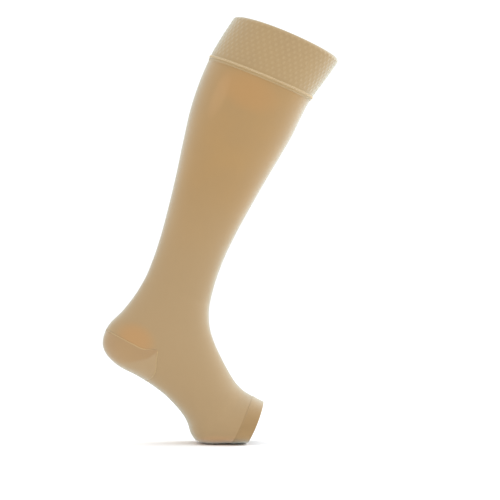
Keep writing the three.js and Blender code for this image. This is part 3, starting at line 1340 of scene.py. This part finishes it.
@dataclass
class ToeHem:
    """The doubled hem round the open toe, with painted sheen that makes it paler over and under the foot.
    """

    form: StockingForm
    outer_lift: float = 0.45 * MM
    thickness: float = 1.7 * MM
    step_length: float = 2.4 * MM
    step_places: tuple[float, ...] = (0, 0.05, 0.25, 0.5, 0.75)
    step_lifts: tuple[float, ...] = (-0.9, -0.4, -0.1, 0.25, 0.65)
    columns: int = 288
    row_step: float = 1.0 * MM
    fold_steps: int = 8
    inner_share: int = 3
    wales: int = 300
    course: float = 0.8 * MM
    painted_sheen_power: float = 1.5
    stitches: int = 120
    stitch_radius: float = 0.22 * MM
    stitch_share: float = 0.7
    stitch_inset: float = 2.2 * MM
    stitch_lifts: tuple[float, ...] = (-0.8, 0.35, 0.45, 0.35, -0.8)
    cut: Cut = Cut(0.182, 0.02)

    def build(self, finish: KnitFinish) -> Piece:
        """Build the hem's cloth.

        Args:
            finish: Its finish.

        Returns:
            The piece.
        """
        ring = RingPiece(self.form, self.columns, self.wales, self.course)
        top = self.form.toe_end - self.form.hem_width
        radius = self.thickness / 2
        low = self.form.toe_end - radius
        outer = np.linspace(top + self.step_length, low, round(self.form.hem_width / self.row_step))
        inner = np.append(outer[:: -self.inner_share], top)
        step_s = top + self.step_length * np.array(self.step_places)
        step = (step_s, self.outer_lift * np.array(self.step_lifts))
        turn = np.linspace(0, math.pi, self.fold_steps + 1)[1:-1]
        fold = (low + radius * np.sin(turn), self.outer_lift - radius + radius * np.cos(turn))
        front = (outer, np.full(len(outer), self.outer_lift))
        back = (inner, np.full(len(inner), self.outer_lift - self.thickness))
        s, lift = np.concatenate((step, front, fold, back), axis=1)
        # Painted sheen: stretched marks the hem paler towards its top and its underside
        stretched = np.abs(np.cos(ring.angles())) ** self.painted_sheen_power
        draft = MeshDraft()
        ring.weave(draft, s, lift, stretched[None, :])
        return dress(draft.build("toe_hem_knit", finish.make()), Slot.HEM, "toe_band")

    def build_stitches(self, finish: ThreadFinish) -> Piece:
        """Build the fine row of stitches that holds the hem.

        Args:
            finish: Their finish.

        Returns:
            The piece.
        """
        step = FULL_TURN / self.stitches
        run = np.linspace(0, self.stitch_share, len(self.stitch_lifts)) * step
        angle = np.arange(self.stitches)[:, None] * step + run
        s = self.form.ring_place(self.form.toe_end - self.form.hem_width + self.stitch_inset, angle)
        lift = self.outer_lift + np.array(self.stitch_lifts) * self.stitch_radius
        work = ThreadWork(self.form, self.stitch_radius)
        return work.sew("toe_hem_stitches", (s, angle, lift), finish, Slot.HEM)


@dataclass(frozen=True)
class SoftLight:
    """A large square studio light that looks at the stocking's middle."""

    name: str
    place: Place
    size: float
    power: float
    tone: Colour = (1.0, 1.0, 1.0)

    def build(self, target: Place) -> None:
        """Place the light.

        Args:
            target: The point that it looks at.
        """
        lamp = bpy.data.lights.new(self.name, "AREA")
        lamp.shape = "SQUARE"
        lamp.size = self.size
        lamp.energy = self.power
        lamp.color = self.tone
        light = link(self.name, lamp)
        light.location = self.place
        x, y, z = np.array(self.place) - np.array(target)
        light.rotation_euler = (math.atan2(math.hypot(x, y), z), 0.0, math.atan2(y, x) + math.pi / 2)


# The slightly cool light of the lamps on the right
COOL_TONE = (0.93, 1.0, 1.09)


@dataclass
class Studio:
    """The camera, the pale floor and the soft lights."""

    camera_place: Place = (-28.7 * MM, -2.8, -225.8 * MM)
    lens: float = 172.3
    sensor: float = 36.0
    nearest: float = 0.05
    farthest: float = 200.0
    floor_radius: float = 60.0
    floor_corners: int = 96
    world_strength: float = 1.12
    middle: Place = (-0.06, 0.0, -0.22)
    lights: tuple[SoftLight, ...] = (
        SoftLight("key_front", (0.6, -2.7, 1.6), 1.8, 2.0),
        SoftLight("edge_right", (2.0, 1.4, 0.8), 1.6, 38.0, COOL_TONE),
        SoftLight("edge_left", (-2.2, 1.6, 0.2), 1.2, 3.0),
        SoftLight("top_right", (1.2, -0.2, 2.4), 1.4, 16.0, COOL_TONE),
    )

    def build_camera(self) -> None:
        """Make the camera, level and square to the stocking's side."""
        lens = bpy.data.cameras.new("camera")
        lens.lens = self.lens
        lens.sensor_width = self.sensor
        lens.clip_start = self.nearest
        lens.clip_end = self.farthest
        camera = link("camera", lens)
        camera.location = self.camera_place
        camera.rotation_euler = (math.pi / 2, 0.0, 0.0)
        bpy.context.scene.camera = camera

    def build_floor(self, height: float) -> None:
        """Make the floor.

        Args:
            height: The height of its top.
        """
        turn = np.linspace(0, FULL_TURN, self.floor_corners, endpoint=False)
        ring = np.stack((np.cos(turn), np.sin(turn), np.zeros_like(turn)), axis=-1) * self.floor_radius
        mesh = bpy.data.meshes.new("floor")
        mesh.from_pydata((ring + np.array([0, 0, height])).tolist(), [], [list(range(self.floor_corners))])
        mesh.materials.append(FloorFinish().make())
        link("floor", mesh)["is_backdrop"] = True

    def build_light(self) -> None:
        """Make the soft white surroundings and the studio lights."""
        world = bpy.data.worlds.new("studio")
        world.use_nodes = True
        background = world.node_tree.nodes["Background"]
        background.inputs["Color"].default_value = (1.0, 1.0, 1.0, 1.0)
        background.inputs["Strength"].default_value = self.world_strength
        bpy.context.scene.world = world
        for light in self.lights:
            light.build(self.middle)
        bpy.context.scene.view_settings.view_transform = "Standard"


# Soft zones of the fine knit: paler where it is denser, from the lower calf to the toes, and
# warmer where it is thinner, under the band and above the heel, with a painted highlight in a
# lighter streak there, and painted light under the ball of the foot, lighter and warmer where the floor
# lights it from below
PALE_TONE = linear(171, 145, 108)
WARM_TONE = linear(190, 141, 88)
HIGHLIGHT_STREAK_TONE = linear(196, 156, 110)
SOLE_PAINTED_LIGHT_TONE = linear(208, 162, 116)
KNIT_ZONES = (
    SoftZone(-95 * MM, -360 * MM, 150 * MM, 230 * MM, 0.0, 1.0, PALE_TONE),
    SoftZone(-30 * MM, -44 * MM, 46 * MM, 26 * MM, -0.45, 0.35, WARM_TONE),
    # Painted highlight: a lighter streak under the band
    SoftZone(-64 * MM, -48 * MM, 10 * MM, 34 * MM, -0.4, 0.3, HIGHLIGHT_STREAK_TONE),
    SoftZone(-161 * MM, -329 * MM, 28 * MM, 21 * MM, -0.5, 0.55, WARM_TONE),
    # Painted light: lighter and warmer under the ball of the foot, standing in for light from the floor
    SoftZone(-62 * MM, -453 * MM, 50 * MM, 15 * MM, 0.0, 0.7, SOLE_PAINTED_LIGHT_TONE),
)

# Each knit's name, two tones of yarn, painted shade for the gaps between stitches, and tone of its relief:
# painted shade along the leg's drawn-in line, painted sheen on the toe hem
FINE_KNIT = KnitFinish(
    "fine_elastic_knit",
    # The last tone is painted shade along the drawn-in line under the band's seam
    linear(174, 140, 93), linear(169, 138, 95), linear(129, 96, 56), linear(128, 98, 58),
    accent_share=0.5, gap_shade_share=0.25, zones=KNIT_ZONES,
)
BAND_KNIT = KnitFinish(
    "diamond_band_knit",
    linear(176, 149, 108), linear(172, 146, 108), linear(128, 103, 68), linear(190, 165, 126),
    accent_share=0.35,
)
SEAM_KNIT = KnitFinish("seam_knit", linear(183, 156, 114), linear(179, 152, 110), linear(130, 104, 68))
HEEL_KNIT = KnitFinish(
    "heel_knit",
    linear(173, 142, 102), linear(169, 139, 102), linear(130, 99, 64), linear(176, 150, 114),
    accent_share=1.0, gap_shade_share=0.25,
)
HEM_KNIT = KnitFinish(
    "toe_hem_knit",
    # The last tone is painted sheen, paler over and under the toes
    linear(165, 135, 93), linear(160, 132, 93), linear(122, 94, 58), linear(182, 151, 108),
    accent_share=0.8,
)
# The seam's cover thread is lighter than the knit: partly its own tone, partly a painted highlight along
# the ridge's top
SEAM_THREAD = ThreadFinish("seam_cover_thread", linear(216, 191, 149), linear(203, 177, 135))
LOWER_THREAD = ThreadFinish("seam_lower_thread", linear(182, 155, 112), linear(168, 141, 98))
GORE_THREAD = ThreadFinish("gore_thread", linear(194, 165, 116), linear(186, 157, 109))
HEM_THREAD = ThreadFinish("hem_thread", linear(176, 147, 104), linear(162, 133, 92))


def main() -> None:
    """Build the stocking's pieces from the top down, then the studio."""
    logging.basicConfig(level=logging.INFO, format="%(message)s")
    form = StockingForm()
    heel_lines = HeelLines(form)
    studio = Studio()
    studio.build_camera()

    band = TopBand(form)
    seam = BandSeam(form)
    band_cloth = band.build(BAND_KNIT)
    seam_pieces = [
        seam.build_ridge(SEAM_KNIT),
        seam.build_stitches(seam.cover, SEAM_THREAD),
        seam.build_stitches(seam.lower, LOWER_THREAD),
    ]
    band.cut.declare(band_cloth, seam_pieces)

    leg = LegAndFoot(form, heel_lines)
    leg_cloth = leg.build(FINE_KNIT)
    leg.cut.declare(leg_cloth)

    pocket = HeelPocket(form, heel_lines)
    pocket_cloth = pocket.build(HEEL_KNIT)
    gore_stitches = pocket.build_gore_stitches(GORE_THREAD)
    pocket.cut.declare(pocket_cloth, gore_stitches)

    hem = ToeHem(form)
    hem_cloth = hem.build(HEM_KNIT)
    hem_stitches = hem.build_stitches(HEM_THREAD)
    hem.cut.declare(hem_cloth, [hem_stitches])

    knits = [band_cloth, *seam_pieces, leg_cloth, pocket_cloth, *gore_stitches, hem_cloth, hem_stitches]
    for piece in knits:
        log.info("%s: %d faces", piece.name, len(piece.data.polygons))

    studio.build_floor(min(CAD_BOX[0][2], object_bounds()[0][2]))
    studio.build_light()


if __name__ == "__main__":
    main()
